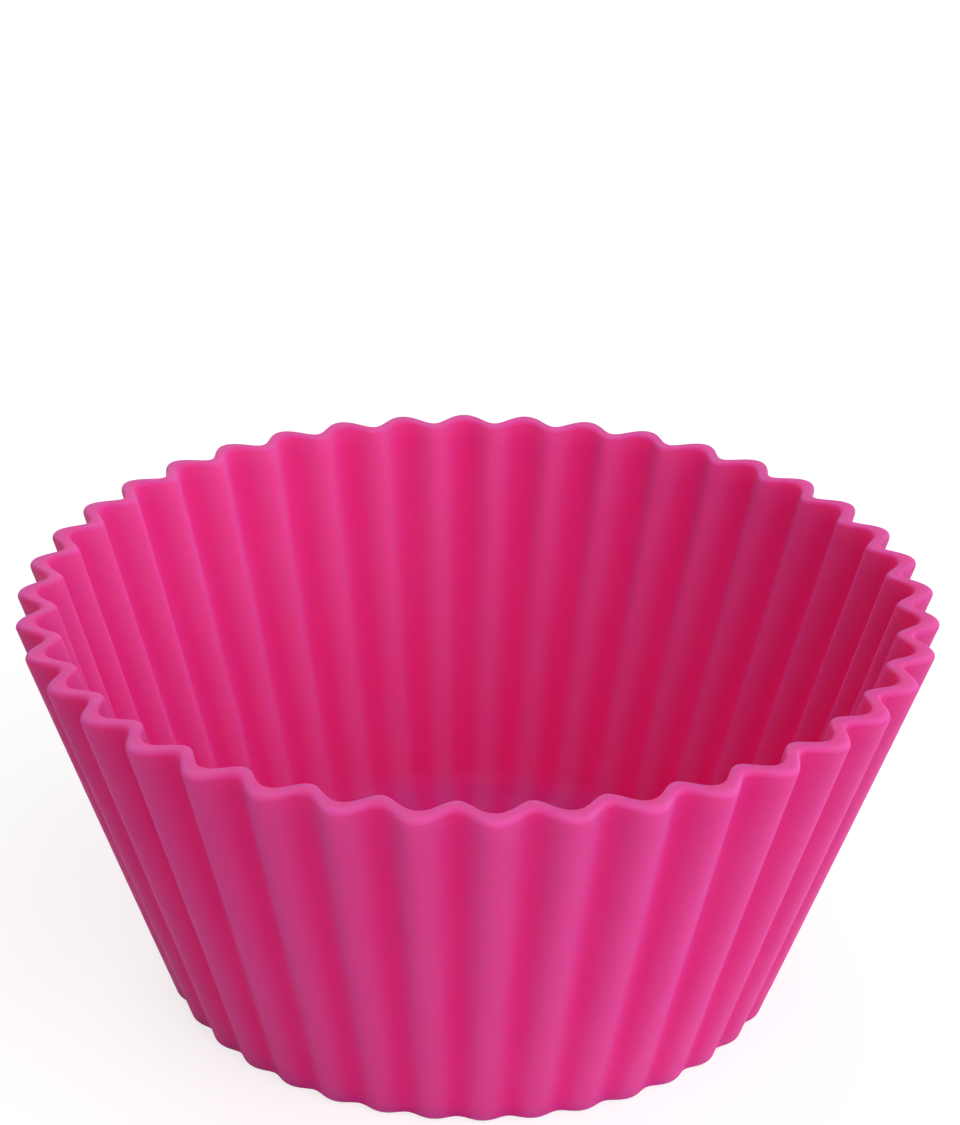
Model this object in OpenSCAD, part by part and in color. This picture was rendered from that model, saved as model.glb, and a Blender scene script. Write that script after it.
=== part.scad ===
// Silicone baking cup: one thin moulding with a fluted wall that widens from a flat foot to a plain rim.
// Millimetres, +Z up, origin at the centre of the underside, with a flute crest on +X.

/* [Rim] */
// Diameter over the flute crests at the rim
rim_d = 70; // [60:0.5:90]
// Depth of the flutes round the outside of the rim, from crest to trough
rim_flute_depth = 1.8; // [1.4:0.05:2.4]
// Depth of the flutes round the inside of the rim, from crest to trough
rim_inner_depth = 1.6; // [0.9:0.05:2]
// Radius that softens the two edges of the rim
rim_edge_r = 0.4; // [0.2:0.05:0.5]

/* [Foot] */
// Diameter over the flute crests at the foot
foot_d = 48.5; // [40:0.1:56]
// Depth of the flutes at the foot, from crest to trough
foot_flute_depth = 0.5; // [0.3:0.05:1.2]
// Radius of the outer corner between the wall and the underside
foot_edge_r = 0.9; // [0.4:0.1:1.5]

/* [Body] */
// Height from the underside to the rim
height = 31.75; // [22:0.25:45]
// Thickness of the wall, measured level
wall_t = 1.5; // [1.2:0.1:2]
// Thickness of the floor
floor_t = 1.4; // [1:0.1:2.5]
// Radius of the inner corner between the floor and the wall
floor_fillet_r = 2.2; // [1:0.1:4]

/* [Flutes] */
// Number of flutes round the cup
flutes = 40; // [24:1:44]
// How much broader the crests are than the troughs, as a share of half the flute depth
crest_fullness = 0.06; // [0:0.01:0.2]

/* [Hidden] */

silicone_pink = "#DA3887";

// Points along one flute, and arc steps in each rounded corner
points_per_flute = 8;
edge_steps = 2;
fillet_steps = 3;
columns = flutes * points_per_flute;

// Middle line of the fluted wall at the rim and at the foot, and its lean from the upright
rim_mean_r = (rim_d - rim_flute_depth) / 2;
foot_mean_r = (foot_d - foot_flute_depth) / 2;
widest_z = height - rim_edge_r;
wall_slope = (rim_mean_r - foot_mean_r) / widest_z;
wall_lean = atan(wall_slope);
inner_share = rim_inner_depth / rim_flute_depth;

// The swept wall ends in a flat ring, and the floor disc laps over that ring
ring_width = 3;
disc_lap = 1.5;
fillet_centre_r = inner_r(floor_t + floor_fillet_r) - floor_fillet_r / cos(wall_lean);
ring_inner_r = fillet_centre_r - ring_width;
disc_r = ring_inner_r + disc_lap;

// Level distance from the axis to the outer and the inner face of the wall, flutes left out
function outer_r(z) = foot_mean_r + wall_slope * z;
function inner_r(z) = outer_r(z) - wall_t;

// Half the flute depth of the outer face at a height
function flute_swing(z) = (foot_flute_depth + (rim_flute_depth - foot_flute_depth) * z / widest_z) / 2;

// Points [r, z, swing] of an arc round [r, z], where swing is how far the flutes move the point.
// Share is the part of the outer face's swing that the arc's face has.
function arc(r, z, radius, from, to, steps, share = 1) =
    [for (i = [0 : steps])
        let (a = from + (to - from) * i / steps, h = z + radius * sin(a))
        [r + radius * cos(a), h, flute_swing(h) * share]];

// Outer corner at the foot, tangent to the underside and to the outer face
function foot_corner() =
    arc(outer_r(foot_edge_r) - foot_edge_r / cos(wall_lean), foot_edge_r, foot_edge_r,
        -90, -wall_lean, edge_steps);

// Outer and inner edges of the rim, tangent to the wall's faces and to the level top
function rim_outer_edge() =
    arc(outer_r(widest_z) - rim_edge_r / cos(wall_lean), widest_z, rim_edge_r,
        -wall_lean, 90, edge_steps);
function rim_inner_edge() =
    arc(inner_r(widest_z) + rim_edge_r / cos(wall_lean), widest_z, rim_edge_r,
        90, 180 - wall_lean, edge_steps, inner_share);

// Inner corner, tangent to the inner face and to the floor, where the flutes fade out into the flat
function floor_corner() =
    let (points = arc(fillet_centre_r, floor_t + floor_fillet_r, floor_fillet_r,
                      -wall_lean, -90, fillet_steps, inner_share))
    [for (i = [0 : fillet_steps]) [points[i][0], points[i][1], points[i][2] * (1 - i / fillet_steps)]];

// Section of the wall in order: foot, outer face, rim, inner face, fillet, end of the flat ring
function wall_section() = concat(
    foot_corner(),
    rim_outer_edge(),
    rim_inner_edge(),
    floor_corner(),
    [[ring_inner_r, floor_t, 0], [ring_inner_r, 0, 0]]);

// Wave of the flutes: 1 on a crest and -1 in a trough, with the crests broader than the troughs
function wave(angle) = cos(flutes * angle) + crest_fullness * (1 - cos(2 * flutes * angle));

// One section point carried to a column round the axis
function swept(point, angle) =
    let (r = point[0] + point[2] * wave(angle))
    [r * cos(angle), r * sin(angle), point[1]];

module fluted_wall() {
    section = wall_section();
    count = len(section);
    points = [
        for (c = [0 : columns - 1])
            for (point = section)
                swept(point, 360 * c / columns)
    ];
    faces = [
        for (c = [0 : columns - 1])
            let (here = c * count, next = ((c + 1) % columns) * count)
                for (i = [0 : count - 1])
                    let (j = (i + 1) % count)
                        each [
                            [here + i, here + j, next + j],
                            [here + i, next + j, next + i]
                        ]
    ];
    polyhedron(points, faces);
}

module floor_disc() {
    cylinder(r = disc_r, h = floor_t, $fn = 96);
}

module cup() {
    color(silicone_pink)
        union() {
            fluted_wall();
            floor_disc();
        }
}

cup();
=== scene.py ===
"""Silicone baking cup: its finished surface, its material and a small studio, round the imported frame.

Every length is in metres. The cup stands on z = 0 with its own axis on Z, as the frame's node does.
"""

import math

import bpy
import numpy as np
from bpy.props import FloatProperty, FloatVectorProperty, IntProperty, PointerProperty, StringProperty
from mathutils import Matrix, Vector


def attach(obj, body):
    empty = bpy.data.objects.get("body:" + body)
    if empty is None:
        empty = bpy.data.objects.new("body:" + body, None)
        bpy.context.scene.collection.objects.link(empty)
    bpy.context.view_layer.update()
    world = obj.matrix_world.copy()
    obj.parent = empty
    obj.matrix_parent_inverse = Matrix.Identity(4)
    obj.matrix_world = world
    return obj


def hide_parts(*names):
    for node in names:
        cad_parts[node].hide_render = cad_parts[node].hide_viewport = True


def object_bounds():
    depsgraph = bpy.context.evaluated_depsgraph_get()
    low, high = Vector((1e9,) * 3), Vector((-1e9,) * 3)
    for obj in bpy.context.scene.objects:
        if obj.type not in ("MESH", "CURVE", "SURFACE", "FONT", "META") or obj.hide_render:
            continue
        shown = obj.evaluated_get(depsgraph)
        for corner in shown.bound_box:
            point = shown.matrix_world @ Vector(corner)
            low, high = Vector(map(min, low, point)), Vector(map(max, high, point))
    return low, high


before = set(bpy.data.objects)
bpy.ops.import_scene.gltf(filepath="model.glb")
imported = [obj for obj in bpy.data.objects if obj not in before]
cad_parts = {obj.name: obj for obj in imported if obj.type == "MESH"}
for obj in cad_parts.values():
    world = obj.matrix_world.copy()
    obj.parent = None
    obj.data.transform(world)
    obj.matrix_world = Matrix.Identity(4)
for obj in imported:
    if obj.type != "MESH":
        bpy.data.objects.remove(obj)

bl_info = {
    "name": "Silicone Baking Cup",
    "version": (1, 0, 0),
    "blender": (4, 5, 0),
    "location": "3D View > Sidebar > Baking Cup",
    "description": "Builds a fluted silicone baking cup and a small studio round it",
    "category": "Add Mesh",
}

CAD_LOW, CAD_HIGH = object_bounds()

# The photograph's frame, in pixels
PHOTO_HEIGHT = 1125
SENSOR_MM = 36.0

# Rows of points along each stretch of the section, and columns in one flute
ROWS = {"under": 6, "foot": 10, "outer": 22, "lip": 8, "top": 2, "inner": 20, "fillet": 10, "floor": 9}
PER_FLUTE = 20

# Sizes of the patterns in the rubber: its clouds, its uneven gloss, and the grain of the mould
CLOUD_SIZE = 0.009
GLOSS_SIZE = 0.004
GRAIN_SIZE = 0.00035
GRAIN_DEPTH = 0.00005

# The studio's lamps, its floor, and how light the floor and the ground past it look to the camera
KEY_PLACE, KEY_SIZE = (0.72, -0.76, 0.4), 1.2
BACK_PLACE, BACK_SIZE = (-0.3, 1.0, 0.6), 0.9
FLOOR_RADIUS, FLOOR_STEPS = 3.0, 96
SEEN_GREY = (0.42, 0.42, 0.42, 1.0)
SEEN_LIFT = 0.73
GROUND_LEVEL = 0.93
WHITE = (1.0, 1.0, 1.0, 1.0)


class CupSizes(bpy.types.PropertyGroup):
    """Sizes of the cup. Its rim and height come from the frame, the rest are the moulding's own."""

    rim_diameter: FloatProperty(
        name="Rim", description="Diameter over the flute crests at the rim",
        default=CAD_HIGH.x - CAD_LOW.x, unit="LENGTH")
    height: FloatProperty(
        name="Height", description="From the underside to the rim",
        default=CAD_HIGH.z - CAD_LOW.z, unit="LENGTH")
    rim_flute_depth: FloatProperty(
        name="Rim flute depth", description="From crest to trough round the outside of the rim",
        default=0.0018, unit="LENGTH")
    rim_inner_depth: FloatProperty(
        name="Rim inner depth", description="From crest to trough round the inside of the rim",
        default=0.0016, unit="LENGTH")
    foot_diameter: FloatProperty(
        name="Foot", description="Diameter over the flute crests at the foot",
        default=0.0485, unit="LENGTH")
    foot_flute_depth: FloatProperty(
        name="Foot flute depth", description="From crest to trough at the foot",
        default=0.0005, unit="LENGTH")
    wall: FloatProperty(
        name="Wall", description="Thickness of the wall, measured level",
        default=0.0015, unit="LENGTH")
    floor: FloatProperty(
        name="Floor", description="Thickness of the floor",
        default=0.0014, unit="LENGTH")
    rim_edge: FloatProperty(
        name="Rim edge", description="Radius that softens the two edges of the rim",
        default=0.0004, unit="LENGTH")
    foot_edge: FloatProperty(
        name="Foot edge", description="Radius of the outer corner at the foot",
        default=0.0009, unit="LENGTH")
    floor_fillet: FloatProperty(
        name="Floor fillet", description="Radius of the inner corner at the floor",
        default=0.0022, unit="LENGTH")
    flutes: IntProperty(
        name="Flutes", description="Number of flutes round the cup", default=40, min=8)
    crest_fullness: FloatProperty(
        name="Crest fullness", description="How much broader the crests are than the troughs",
        default=0.06, min=0.0, max=0.2)
    slack: FloatProperty(
        name="Slack", description="How far the soft rim strays from a true circle, always inwards",
        default=0.00012, unit="LENGTH")


class CupFinish(bpy.types.PropertyGroup):
    """Colours and surface of the moulded silicone."""

    # Painted highlight: the crests get a paler, bluer pink that stands in for the soft sheen of light on them
    crest_highlight_colour: StringProperty(
        name="Crest colour", description="Pigment on the flute crests, as sRGB hex", default="#E34A9C")
    # Painted shade: the grooves get a deeper, redder pink that stands in for the shade in them
    groove_shade_colour: StringProperty(
        name="Groove colour", description="Pigment deep in the flutes, as sRGB hex", default="#EE308E")
    # Painted highlight and glow along the thin rim
    lip_glow_colour: StringProperty(
        name="Lip colour", description="Warmer, paler tone along the thin rim, as sRGB hex",
        default="#FA78BC")
    roughness: FloatProperty(
        name="Roughness", description="Roughness of the mould's matt skin",
        default=0.55, min=0.0, max=1.0, subtype="FACTOR")
    spread: FloatProperty(
        name="Spread", description="How far light inside the silicone evens out the shading of the flutes",
        default=0.75, min=0.0, max=1.0, subtype="FACTOR")
    scatter_depth: FloatProperty(
        name="Scatter depth", description="How far red light travels inside the silicone",
        default=0.004, unit="LENGTH")


class StudioSettings(bpy.types.PropertyGroup):
    """Camera, lamps and floor."""

    distance: FloatProperty(
        name="Distance", description="From the camera to the point it looks at",
        default=0.225, unit="LENGTH")
    elevation: FloatProperty(
        name="Elevation", description="Height of the camera over the horizon",
        default=math.radians(25.44), unit="ROTATION", subtype="ANGLE")
    azimuth: FloatProperty(
        name="Azimuth", description="Turn of the camera round the cup, from looking along +Y",
        default=math.radians(-2.47), unit="ROTATION", subtype="ANGLE")
    roll: FloatProperty(
        name="Roll", description="Clockwise turn of the picture",
        default=math.radians(0.94), unit="ROTATION", subtype="ANGLE")
    focal_px: FloatProperty(
        name="Focal length", description="Focal length in pixels of the photograph", default=2969.0)
    aim: FloatVectorProperty(
        name="Aim", description="Point at the middle of the picture",
        default=(0.00013, 0.0, 0.03403), unit="LENGTH")
    key_power: FloatProperty(
        name="Key", description="Power of the lamp on the right", default=5.0, unit="POWER")
    back_power: FloatProperty(
        name="Back", description="Power of the lamp behind the cup", default=4.2, unit="POWER")
    sky: FloatProperty(
        name="Sky", description="Mean strength of the soft light all round", default=0.44)
    sky_lean: FloatProperty(
        name="Sky lean", description="How much stronger the sky is towards the key lamp",
        default=0.98, min=0.0, max=1.0, subtype="FACTOR")
    floor_colour: StringProperty(
        name="Floor colour", description="Colour of the floor, as sRGB hex", default="#C8C8C8")


def linear(hex_colour):
    """sRGB hex to linear RGBA: c / 12.92 up to 0.04045, else ((c + 0.055) / 1.055) ** 2.4."""
    srgb = np.array([int(hex_colour[i:i + 2], 16) for i in (1, 3, 5)]) / 255
    rgb = np.where(srgb <= 0.04045, srgb / 12.92, ((srgb + 0.055) / 1.055) ** 2.4)
    return (*rgb.tolist(), 1.0)


def add_node(tree, kind, settings=None, **links):
    """Adds a node, sets its properties, and gives each named input a value or a link from a socket."""
    node = tree.nodes.new(kind)
    for name, value in (settings or {}).items():
        setattr(node, name, value)
    for name, value in links.items():
        socket = node.inputs[int(name[1:])] if name[0] == "i" and name[1:].isdigit() else node.inputs[name]
        if isinstance(value, bpy.types.NodeSocket):
            tree.links.new(value, socket)
        else:
            socket.default_value = value
    return node


def arc(centre_r, centre_z, radius, start, stop, count):
    """Radii and heights of an arc: centre + radius * (cos a, sin a), with a even from start to stop."""
    a = np.linspace(start, stop, count)
    return np.stack([centre_r + radius * np.cos(a), centre_z + radius * np.sin(a)])


def line(start, stop, count):
    """Radii and heights evenly from start to stop, both ends left out."""
    t = np.linspace(0, 1, count + 2)[1:-1]
    return np.outer(start, 1 - t) + np.outer(stop, t)


def smooth(t):
    """3 t**2 - 2 t**3, with t held between 0 and 1."""
    t = np.clip(t, 0, 1)
    return t * t * (3 - 2 * t)


class Section:
    """The cup's section without flutes: rows of radius, height, flute swing and side, from pole to pole.

    The outer face is the straight line r = foot_mean + slope * z, tangent to the corner arcs at both
    ends. The inner face is the same line moved in by the wall. swing is half the flute depth there, and
    side is 1 on the outer face, -1 on the inner face, because a crest outside is a groove inside.
    """

    def __init__(self, sizes):
        # The rounded rim edge reaches the frame's box, so the wall's line meets it a little further out
        crest_r = sizes.rim_diameter / 2
        widest_z = sizes.height - sizes.rim_edge
        foot_mean = (sizes.foot_diameter - sizes.foot_flute_depth) / 2
        rim_mean = crest_r - sizes.rim_flute_depth / 2
        lean = math.atan((rim_mean - foot_mean) / widest_z)
        rim_mean += sizes.rim_edge * (1 / math.cos(lean) - 1)
        slope = (rim_mean - foot_mean) / widest_z
        lean = math.atan(slope)
        in_shift = 1 / math.cos(lean)

        def outer(z):
            return foot_mean + slope * z

        def inner(z):
            return outer(z) - sizes.wall

        edge, corner, fillet = sizes.rim_edge, sizes.foot_edge, sizes.floor_fillet
        fillet_z = sizes.floor + fillet
        down, up = -math.pi / 2, math.pi / 2
        foot_arc = arc(outer(corner) - corner * in_shift, corner, corner, down, -lean, ROWS["foot"])
        lip_out = arc(outer(widest_z) - edge * in_shift, widest_z, edge, -lean, up, ROWS["lip"])
        lip_in = arc(inner(widest_z) + edge * in_shift, widest_z, edge, up, math.pi - lean, ROWS["lip"])
        floor_arc = arc(inner(fillet_z) - fillet * in_shift, fillet_z, fillet, -lean, down, ROWS["fillet"])
        under = line((0, 0), foot_arc[:, 0], ROWS["under"])
        top = line(floor_arc[:, -1], (0, sizes.floor), ROWS["floor"])
        blocks = [
            (under, 1), (foot_arc, 1),
            (line(foot_arc[:, -1], lip_out[:, 0], ROWS["outer"]), 1), (lip_out, 1),
            (line(lip_out[:, -1], lip_in[:, 0], ROWS["top"]), 0), (lip_in, -1),
            (line(lip_in[:, -1], floor_arc[:, 0], ROWS["inner"]), -1), (floor_arc, -1), (top, -1),
        ]
        self.radius = np.concatenate([rows[0] for rows, _ in blocks])
        self.height = np.concatenate([rows[1] for rows, _ in blocks])
        self.side = np.concatenate([np.full(rows.shape[1], side) for rows, side in blocks])
        depth = sizes.foot_flute_depth + (
            sizes.rim_flute_depth - sizes.foot_flute_depth) * self.height / widest_z
        # Under the foot the flutes keep their outline, and on the floor they fade out over the fillet
        inside = np.cumsum(self.side < 0) > 0
        fade_in = smooth((self.radius - 0.6 * foot_arc[0, 0]) / (0.4 * foot_arc[0, 0]))
        fade_out = smooth((self.radius - top[0, 1]) / (floor_arc[0, 0] - top[0, 1]))
        share = sizes.rim_inner_depth / sizes.rim_flute_depth
        self.swing = depth / 2 * np.where(inside, share * fade_out, fade_in)
        # Nearness to the rim's level top, and more so to its outer edge, which catches the light; it sets
        # where the rim's painted highlight and glow go
        past_top = np.maximum(self.radius - lip_out[0, -1], 0) + np.maximum(lip_in[0, 0] - self.radius, 0)
        to_top = np.hypot(past_top, sizes.height - self.height)
        edge_r, edge_z = lip_out[:, ROWS["lip"] // 2]
        to_edge = np.hypot(self.radius - edge_r, self.height - edge_z)
        self.lip = 0.6 * np.exp(-(to_top / (1.2 * edge)) ** 2) + 0.4 * np.exp(-(to_edge / (0.6 * edge)) ** 2)
        self.up = self.height / sizes.height
        self.floor = sizes.floor
        # Outward direction of the section itself, at right angles to its line from pole to pole
        out = np.stack([np.gradient(self.height), -np.gradient(self.radius)])
        self.out = out / np.hypot(*out)


def flute_wave(u, fullness):
    """Height of the flutes from -1 to 1: cos u + fullness * (1 - cos 2u), broader on the crests."""
    return np.cos(u) + fullness * (1 - np.cos(2 * u))


def slack_of(angle):
    """How far a soft rim is from a true circle, from 0 to 1: three slow waves round the cup."""
    waves = 0.5 * np.cos(2 * angle + 0.7) + 0.3 * np.cos(3 * angle + 2.1) + 0.2 * np.cos(5 * angle + 4.0)
    return (1 + waves) / 2


def cup_surface(sizes):
    """Vertices, faces and attributes of the closed cup.

    Row i of the section is carried round the axis: r = radius_i + swing_i * wave(flutes * angle)
    - slack * up_i ** 2 * slack_of(angle), with x = r cos(angle), y = r sin(angle) and z = height_i.
    proud is 1 on a crest and -1 in a groove and sets the flutes' painted highlight and shade, lip is 1 along
    the outer lip and sets the rim's painted highlight and glow, and body is the outward direction of the cup
    as it would be without flutes.
    """
    section = Section(sizes)
    columns = sizes.flutes * PER_FLUTE
    angle = np.arange(columns) * 2 * np.pi / columns
    wave = flute_wave(sizes.flutes * angle, sizes.crest_fullness)
    r = section.radius[:, None] + section.swing[:, None] * wave
    r = r - sizes.slack * section.up[:, None] ** 2 * slack_of(angle)
    z = np.broadcast_to(section.height[:, None], r.shape)
    grid = np.stack([r * np.cos(angle), r * np.sin(angle), z], axis=-1).reshape(-1, 3)
    rows = len(section.radius)
    poles = np.array([[0.0, 0.0, 0.0], [0.0, 0.0, section.floor]])
    vertices = np.concatenate([grid, poles])

    here = np.arange(columns)
    after = (here + 1) % columns
    low = (np.arange(rows - 1) * columns)[:, None]
    quads = np.stack([low + here, low + after, low + columns + after, low + columns + here], axis=-1)
    bottom, top = rows * columns, rows * columns + 1
    last = (rows - 1) * columns
    fan_low = np.stack([np.full(columns, bottom), after, here], axis=-1)
    fan_top = np.stack([np.full(columns, top), last + here, last + after], axis=-1)

    proud = (section.side[:, None] * wave * (section.swing > 0)[:, None]).reshape(-1)
    proud = np.concatenate([proud, [0.0, 0.0]])
    lip = np.concatenate([np.repeat(section.lip, columns), [0.0, 0.0]])
    across = np.outer(section.out[0], np.cos(angle)), np.outer(section.out[0], np.sin(angle))
    upward = np.broadcast_to(section.out[1][:, None], across[0].shape)
    body = np.stack([*across, upward], axis=-1).reshape(-1, 3)
    body = np.concatenate([body, [[0.0, 0.0, -1.0], [0.0, 0.0, 1.0]]])
    attributes = {"proud": proud, "lip": lip, "body": body}
    return vertices, quads.reshape(-1, 4), np.concatenate([fan_low, fan_top]), attributes


def fill_mesh(name, vertices, quads, triangles, attributes):
    """A smooth-shaded mesh from whole arrays, with one attribute a name, of numbers or of vectors."""
    mesh = bpy.data.meshes.new(name)
    corners = np.concatenate([quads.reshape(-1), triangles.reshape(-1)])
    counts = np.concatenate([np.full(len(quads), 4), np.full(len(triangles), 3)])
    starts = np.concatenate([[0], np.cumsum(counts)[:-1]])
    mesh.vertices.add(len(vertices))
    mesh.vertices.foreach_set("co", vertices.astype(np.float32).reshape(-1))
    mesh.loops.add(len(corners))
    mesh.loops.foreach_set("vertex_index", corners.astype(np.int32))
    mesh.polygons.add(len(counts))
    mesh.polygons.foreach_set("loop_start", starts.astype(np.int32))
    mesh.update(calc_edges=True)
    mesh.validate()
    mesh.polygons.foreach_set("use_smooth", np.ones(len(counts), dtype=bool))
    for key, values in attributes.items():
        kind, field = ("FLOAT", "value") if values.ndim == 1 else ("FLOAT_VECTOR", "vector")
        layer = mesh.attributes.new(key, kind, "POINT")
        layer.data.foreach_set(field, values.astype(np.float32).reshape(-1))
    return mesh


def moulded_silicone(finish):
    """Platinum-cured silicone rubber, pigmented pink and pressed in a matt steel mould.

    It gives the eye a soft satin skin and light that soaks through the thin wall. Light and shade are also
    painted
    into the colour: a warmer, paler painted glow and highlight along the rim, a paler painted highlight on
    the flute crests, and a redder, deeper painted shade in the grooves.
    """
    material = bpy.data.materials.new("moulded_silicone_pink")
    material.use_nodes = True
    tree = material.node_tree
    tree.nodes.clear()
    place = add_node(tree, "ShaderNodeTexCoord").outputs["Object"]

    # Colour: the rubber's pink with painted light by the flute, a paler painted highlight on the crests and a
    # deeper, redder painted shade in the grooves, with a faint cloudiness of the mixed rubber, 9 mm across
    proud = add_node(tree, "ShaderNodeAttribute", {"attribute_name": "proud"}).outputs["Fac"]
    depth = add_node(
        tree, "ShaderNodeMapRange", {"interpolation_type": "SMOOTHSTEP"},
        Value=proud, **{"From Min": -1.0, "From Max": 1.0}).outputs["Result"]
    cloud = add_node(
        tree, "ShaderNodeTexNoise", Vector=place, Scale=1 / CLOUD_SIZE, Detail=2.0).outputs["Fac"]
    cloud_shift = add_node(
        tree, "ShaderNodeMapRange", Value=cloud,
        **{"From Min": 0.3, "From Max": 0.7, "To Min": -0.12, "To Max": 0.12}).outputs["Result"]
    share = add_node(
        tree, "ShaderNodeMath", {"operation": "ADD", "use_clamp": True},
        i0=depth, i1=cloud_shift).outputs["Value"]
    pink_and_painted_light = add_node(
        tree, "ShaderNodeMix", {"data_type": "RGBA"},
        Factor=share, i6=linear(finish.groove_shade_colour), i7=linear(finish.crest_highlight_colour)).outputs[2]
    # Painted glow and highlight: the thin rim is painted warmer and paler, most so on its outer edge, for
    # light that comes out through its edges and falls on it
    lip = add_node(tree, "ShaderNodeAttribute", {"attribute_name": "lip"}).outputs["Fac"]
    lip_glow_share = add_node(tree, "ShaderNodeMath", {"operation": "MULTIPLY"}, i0=lip, i1=0.45).outputs["Value"]
    pink_and_painted_light = add_node(
        tree, "ShaderNodeMix", {"data_type": "RGBA"},
        Factor=lip_glow_share, i6=pink_and_painted_light, i7=linear(finish.lip_glow_colour)).outputs[2]

    # Skin: the mould's fine matt grain, drawn 0.35 mm across so that it shows, and uneven gloss, 4 mm across
    grain = add_node(
        tree, "ShaderNodeTexNoise", Vector=place, Scale=1 / GRAIN_SIZE, Detail=1.0).outputs["Fac"]
    # Light spreads sideways inside the rubber, so each flute is shaded partly as the whole wall is
    body = add_node(tree, "ShaderNodeAttribute", {"attribute_name": "body"}).outputs["Vector"]
    body = add_node(
        tree, "ShaderNodeVectorTransform", {"vector_type": "NORMAL"}, Vector=body).outputs["Vector"]
    flute = add_node(tree, "ShaderNodeNewGeometry").outputs["Normal"]
    spread = add_node(
        tree, "ShaderNodeMix", {"data_type": "VECTOR"},
        Factor=finish.spread, i4=flute, i5=body).outputs[1]
    spread = add_node(tree, "ShaderNodeVectorMath", {"operation": "NORMALIZE"}, i0=spread).outputs["Vector"]
    bump = add_node(
        tree, "ShaderNodeBump",
        Strength=0.06, Distance=GRAIN_DEPTH, Height=grain, Normal=spread).outputs["Normal"]
    patches = add_node(
        tree, "ShaderNodeTexNoise", Vector=place, Scale=1 / GLOSS_SIZE, Detail=3.0).outputs["Fac"]
    gloss = add_node(
        tree, "ShaderNodeMapRange", Value=patches,
        **{"From Min": 0.3, "From Max": 0.7,
           "To Min": finish.roughness - 0.05, "To Max": finish.roughness + 0.05}).outputs["Result"]

    skin = add_node(tree, "ShaderNodeBsdfPrincipled", **{
        "Base Color": pink_and_painted_light, "Roughness": gloss, "Normal": bump, "IOR": 1.41, "Specular IOR Level": 0.06,
        "Subsurface Weight": 1.0, "Subsurface Radius": (1.0, 0.1, 0.22),
        "Subsurface Scale": finish.scatter_depth})
    add_node(tree, "ShaderNodeOutputMaterial", Surface=skin.outputs["BSDF"])
    return material


def seen_directly(tree):
    """1 where the camera sees a surface straight, mirrored or through glass, and 0 for its soft light."""
    path = add_node(tree, "ShaderNodeLightPath")
    seen = add_node(
        tree, "ShaderNodeMath", {"operation": "MAXIMUM"},
        i0=path.outputs["Is Camera Ray"], i1=path.outputs["Is Glossy Ray"]).outputs["Value"]
    return add_node(
        tree, "ShaderNodeMath", {"operation": "MAXIMUM"},
        i0=seen, i1=path.outputs["Is Transmission Ray"]).outputs["Value"]


def pale_floor(colour):
    """Matt painted board. It is evenly pale to the camera and keeps the soft shadow of the cup."""
    material = bpy.data.materials.new("matt_board_pale")
    material.use_nodes = True
    tree = material.node_tree
    tree.nodes.clear()
    seen = seen_directly(tree)
    board = add_node(tree, "ShaderNodeBsdfDiffuse", Color=linear(colour)).outputs["BSDF"]
    shaded = add_node(tree, "ShaderNodeBsdfDiffuse", Color=SEEN_GREY).outputs["BSDF"]
    lift = add_node(tree, "ShaderNodeEmission", Color=WHITE, Strength=SEEN_LIFT).outputs["Emission"]
    shown = add_node(tree, "ShaderNodeAddShader", i0=shaded, i1=lift).outputs["Shader"]
    mixed = add_node(tree, "ShaderNodeMixShader", i0=seen, i1=board, i2=shown).outputs["Shader"]
    add_node(tree, "ShaderNodeOutputMaterial", Surface=mixed)
    return material


def studio_sky(strength, lean, toward):
    """Soft light all round, and a near-white ground where the camera sees past the floor.

    The light from a direction d is strength * (1 - lean + 3 lean * ((1 + d . toward) / 2) ** 2), so its
    mean is the strength, and it falls off slowly across the whole sky, as light from a wide wall does.
    """
    world = bpy.data.worlds.new("studio")
    world.use_nodes = True
    tree = world.node_tree
    tree.nodes.clear()
    seen = seen_directly(tree)
    direction = add_node(tree, "ShaderNodeTexCoord").outputs["Generated"]
    facing = add_node(
        tree, "ShaderNodeVectorMath", {"operation": "DOT_PRODUCT"},
        i0=direction, i1=toward).outputs["Value"]
    nearness = add_node(
        tree, "ShaderNodeMapRange", Value=facing, **{"From Min": -1.0, "From Max": 1.0}).outputs["Result"]
    squared = add_node(
        tree, "ShaderNodeMath", {"operation": "MULTIPLY"}, i0=nearness, i1=nearness).outputs["Value"]
    level = add_node(
        tree, "ShaderNodeMath", {"operation": "MULTIPLY_ADD"},
        i0=squared, i1=3 * strength * lean, i2=strength * (1 - lean)).outputs["Value"]
    light = add_node(tree, "ShaderNodeBackground", Color=WHITE, Strength=level)
    ground = add_node(tree, "ShaderNodeBackground", Color=WHITE, Strength=GROUND_LEVEL)
    mixed = add_node(
        tree, "ShaderNodeMixShader", i0=seen,
        i1=light.outputs["Background"], i2=ground.outputs["Background"])
    add_node(tree, "ShaderNodeOutputWorld", Surface=mixed.outputs["Shader"])
    bpy.context.scene.world = world


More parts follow.
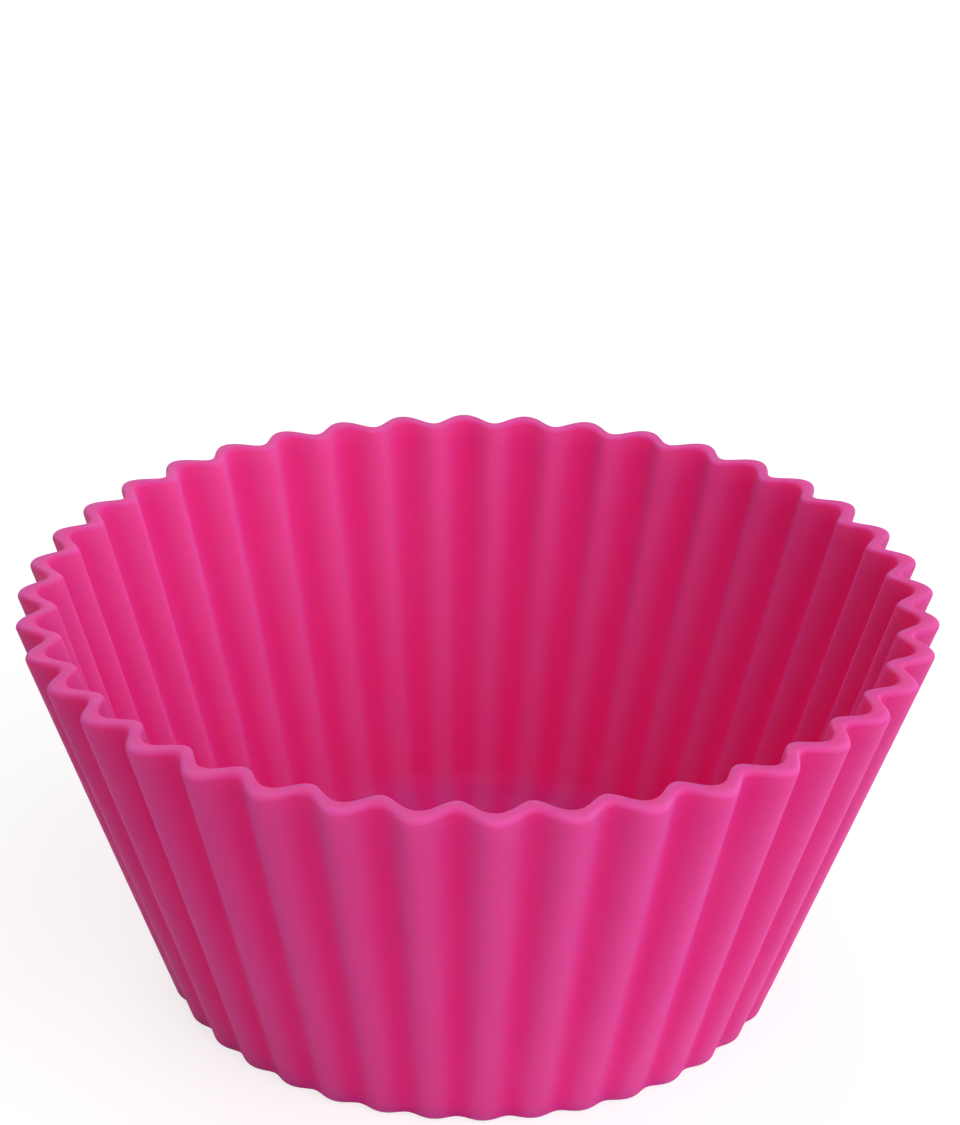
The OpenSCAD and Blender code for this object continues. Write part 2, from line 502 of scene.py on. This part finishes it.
def place_camera(studio):
    """A camera that looks at the aim point from azimuth and elevation, and is turned by roll.

    forward = (-sin az cos el, cos az cos el, -sin el), right = (cos az, sin az, 0) and up = right x
    forward, then right and up turn together by the roll. The long side of the picture is the sensor's.
    """
    az, el, roll = studio.azimuth, studio.elevation, studio.roll
    forward = Vector((-math.sin(az) * math.cos(el), math.cos(az) * math.cos(el), -math.sin(el)))
    level = Vector((math.cos(az), math.sin(az), 0.0))
    rise = level.cross(forward)
    right = level * math.cos(roll) + rise * math.sin(roll)
    up = rise * math.cos(roll) - level * math.sin(roll)
    data = bpy.data.cameras.new("camera")
    data.sensor_width = SENSOR_MM
    data.lens = studio.focal_px * SENSOR_MM / PHOTO_HEIGHT
    data.clip_start, data.clip_end = 0.01, 20.0
    camera = bpy.data.objects.new("camera", data)
    bpy.context.collection.objects.link(camera)
    turn = Matrix((right, up, -forward)).transposed().to_4x4()
    camera.matrix_world = Matrix.Translation(Vector(studio.aim) - forward * studio.distance) @ turn
    bpy.context.scene.camera = camera


def place_lamp(name, place, size, power):
    """A square soft box at a place, facing the middle of the cup."""
    data = bpy.data.lights.new(name, "AREA")
    data.shape = "SQUARE"
    data.size = size
    data.energy = power
    lamp = bpy.data.objects.new(name, data)
    bpy.context.collection.objects.link(lamp)
    lamp.location = place
    middle = Vector((0.0, 0.0, CAD_HIGH.z / 2))
    lamp.rotation_euler = (middle - Vector(place)).to_track_quat("-Z", "Y").to_euler()


class CUP_OT_build(bpy.types.Operator):
    """Builds the finished cup and lets it stand for the frame's solid"""

    bl_idname = "baking_cup.build"
    bl_label = "Build cup"

    def execute(self, context):
        scene = context.scene
        mesh = fill_mesh("silicone_cup", *cup_surface(scene.cup_sizes))
        mesh.materials.append(moulded_silicone(scene.cup_finish))
        cup = bpy.data.objects.new("silicone_cup", mesh)
        context.collection.objects.link(cup)
        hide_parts("cup")
        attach(cup, "root")
        return {"FINISHED"}


class CUP_OT_studio(bpy.types.Operator):
    """Makes the pale floor, the soft light and the camera"""

    bl_idname = "baking_cup.studio"
    bl_label = "Make studio"

    def execute(self, context):
        studio = context.scene.cup_studio
        angle = np.arange(FLOOR_STEPS) * 2 * np.pi / FLOOR_STEPS
        ring = FLOOR_RADIUS * np.stack([np.cos(angle), np.sin(angle), 0 * angle], axis=-1)
        floor_mesh = bpy.data.meshes.new("floor")
        floor_mesh.from_pydata(ring.tolist(), [], [list(range(FLOOR_STEPS))])
        floor_mesh.materials.append(pale_floor(studio.floor_colour))
        floor = bpy.data.objects.new("floor", floor_mesh)
        context.collection.objects.link(floor)
        studio_sky(studio.sky, studio.sky_lean, Vector(KEY_PLACE).normalized())
        place_lamp("key", KEY_PLACE, KEY_SIZE, studio.key_power)
        place_lamp("back", BACK_PLACE, BACK_SIZE, studio.back_power)
        place_camera(studio)
        context.scene.view_settings.view_transform = "Standard"
        return {"FINISHED"}


class CUP_PT_panel(bpy.types.Panel):
    """Lists the cup's operators and settings in the sidebar"""

    bl_idname = "CUP_PT_panel"
    bl_label = "Baking Cup"
    bl_space_type = "VIEW_3D"
    bl_region_type = "UI"
    bl_category = "Baking Cup"

    def draw(self, context):
        layout = self.layout
        for group in ("cup_sizes", "cup_finish", "cup_studio"):
            settings = getattr(context.scene, group)
            for name in settings.bl_rna.properties.keys():
                if name not in ("rna_type", "name"):
                    layout.prop(settings, name)
        layout.operator(CUP_OT_build.bl_idname)
        layout.operator(CUP_OT_studio.bl_idname)


CLASSES = (CupSizes, CupFinish, StudioSettings, CUP_OT_build, CUP_OT_studio, CUP_PT_panel)


def register():
    for cls in CLASSES:
        bpy.utils.register_class(cls)
    bpy.types.Scene.cup_sizes = PointerProperty(type=CupSizes)
    bpy.types.Scene.cup_finish = PointerProperty(type=CupFinish)
    bpy.types.Scene.cup_studio = PointerProperty(type=StudioSettings)


def unregister():
    del bpy.types.Scene.cup_studio
    del bpy.types.Scene.cup_finish
    del bpy.types.Scene.cup_sizes
    for cls in reversed(CLASSES):
        bpy.utils.unregister_class(cls)


def main():
    register()
    bpy.ops.baking_cup.build()
    bpy.ops.baking_cup.studio()


if __name__ == "__main__":
    main()
